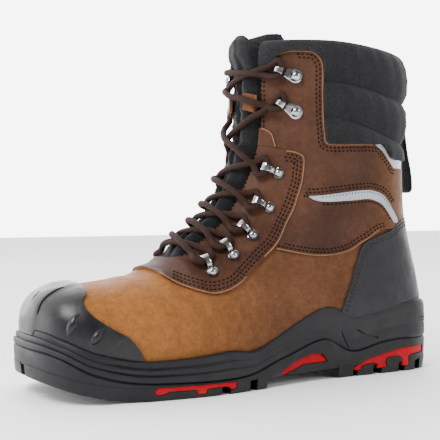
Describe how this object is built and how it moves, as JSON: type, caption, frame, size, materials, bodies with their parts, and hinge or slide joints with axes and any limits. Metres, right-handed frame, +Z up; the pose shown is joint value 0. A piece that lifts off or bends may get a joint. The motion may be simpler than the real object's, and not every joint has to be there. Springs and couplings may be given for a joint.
{
  "type": "steel toe boot",
  "caption": "Ankle-high steel toe work boot with a capped toe, padded collar, speed lacing and a lugged sole with side inlays.",
  "frame": {"origin": "on the ground under the middle of the heel", "axes": "-X to the toe, -Y to the outer side of the foot, +Z up"},
  "size_m": [0.32, 0.1147, 0.2462],
  "materials": {
    "vamp_leather": "tan pull-up leather, satin",
    "cap_leather": "black coated leather, satin",
    "brown_leather": "dark brown pull-up leather",
    "black_leather": "black grained leather",
    "textile": "charcoal padded textile",
    "reflective": "silver reflective tape",
    "webbing": "black woven webbing",
    "insole_board": "grey textile on a board",
    "rubber": "moulded rubber, satin",
    "red_rubber": "red moulded inlay",
    "steel_fitting": "plated steel",
    "lace_cord": "round braided cord"
  },
  "bodies": {
    "root": {"upper": "vamp_leather", "toe_cap": "cap_leather", "eyestay": "brown_leather", "quarter": "brown_leather", "counter": "black_leather", "collar": "textile", "reflective_strip_lateral": "reflective", "reflective_strip_medial": "reflective", "reflective_back": "reflective", "pull_loop": "webbing", "tongue": "textile", "insole": "insole_board", "midsole": "rubber", "outsole": "rubber", "red_fore_lateral": "red_rubber", "red_fore_medial": "red_rubber", "red_arch_lateral": "red_rubber", "red_arch_medial": "red_rubber", "red_heel_lateral": "red_rubber", "red_heel_medial": "red_rubber", "speed_hook_1_lateral": "steel_fitting", "speed_hook_1_medial": "steel_fitting", "speed_hook_2_lateral": "steel_fitting", "speed_hook_2_medial": "steel_fitting", "lace_ring_3_lateral": "steel_fitting", "lace_ring_3_medial": "steel_fitting", "lace_ring_4_lateral": "steel_fitting", "lace_ring_4_medial": "steel_fitting", "lace_ring_5_lateral": "steel_fitting", "lace_ring_5_medial": "steel_fitting", "lace_ring_6_lateral": "steel_fitting", "lace_ring_6_medial": "steel_fitting", "lace_ring_7_lateral": "steel_fitting", "lace_ring_7_medial": "steel_fitting", "lace_bottom_bar": "lace_cord", "lace_crossing_1": "lace_cord", "lace_crossing_2": "lace_cord", "lace_crossing_3": "lace_cord", "lace_crossing_4": "lace_cord", "lace_crossing_5": "lace_cord", "lace_crossing_6": "lace_cord", "lace_top_bar": "lace_cord"}
  },
  "joints": []
}
